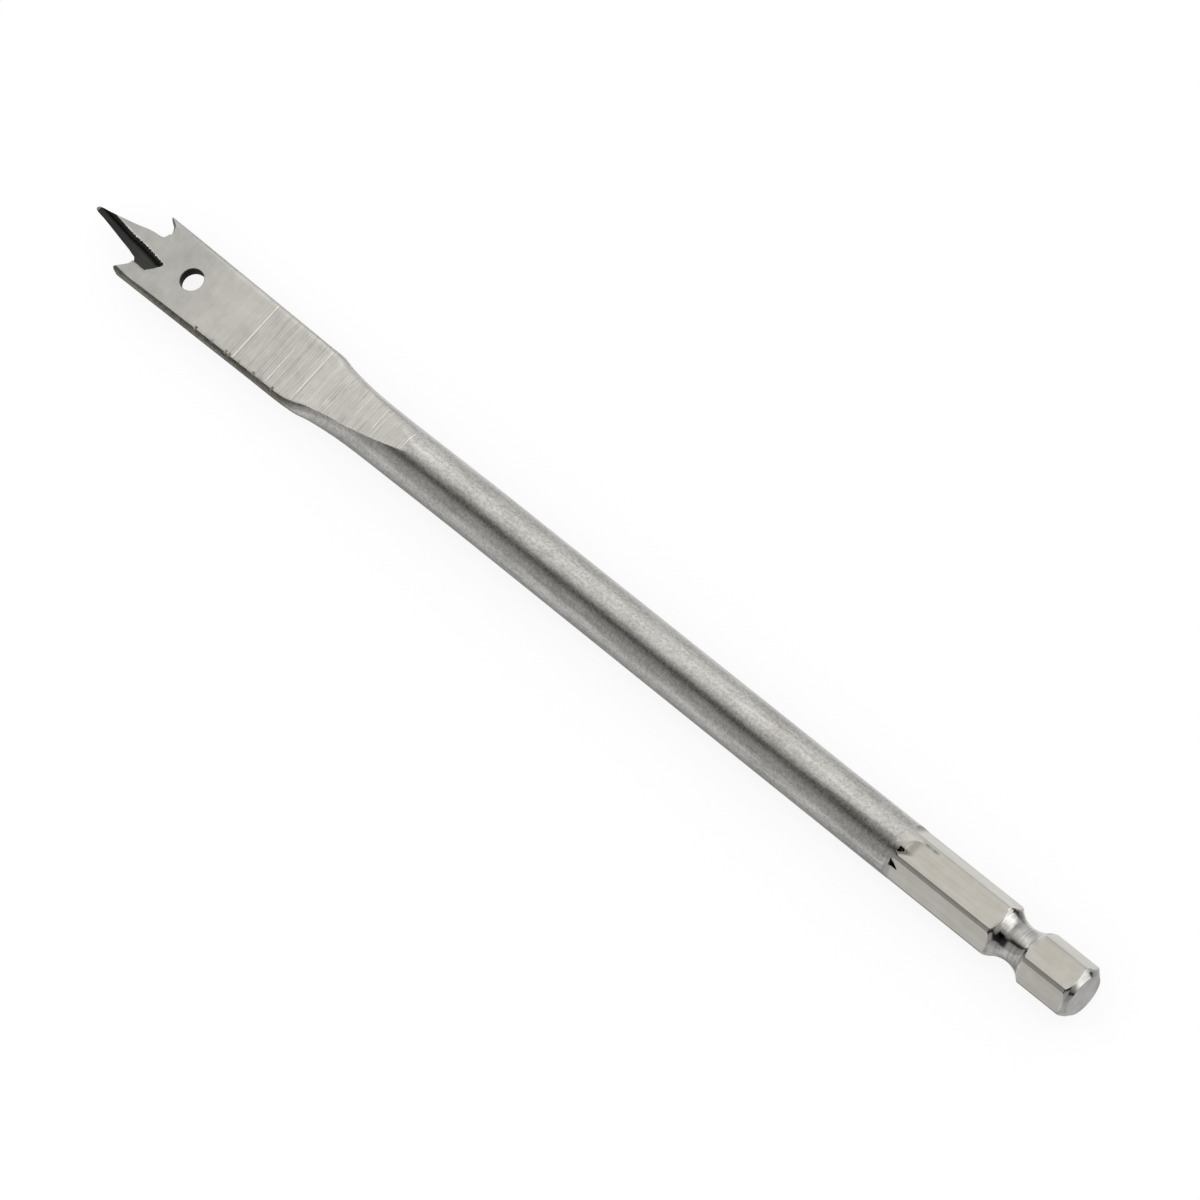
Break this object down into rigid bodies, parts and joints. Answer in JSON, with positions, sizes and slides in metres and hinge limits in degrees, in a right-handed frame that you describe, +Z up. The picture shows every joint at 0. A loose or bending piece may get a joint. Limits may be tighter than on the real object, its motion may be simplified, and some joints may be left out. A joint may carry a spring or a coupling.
{
  "type": "spade drill bit",
  "caption": "Spade drill bit for boring wood: long round steel shank with a hex drive end and detent groove, flat blade with a cross hole, spurs and a ground centre point",
  "frame": {"origin": "middle of the length, under the axis of the bar, on the surface that the bar lies on", "axes": "+X along the bar from the point to the hex, +Z up out of the flat of the blade, +Y across the blade"},
  "size_m": [0.16, 0.0098, 0.007],
  "materials": {
    "steel": "ground blade, satin bar, polished hex"
  },
  "bodies": {
    "root": {"spade_bit": "steel"}
  },
  "joints": []
}
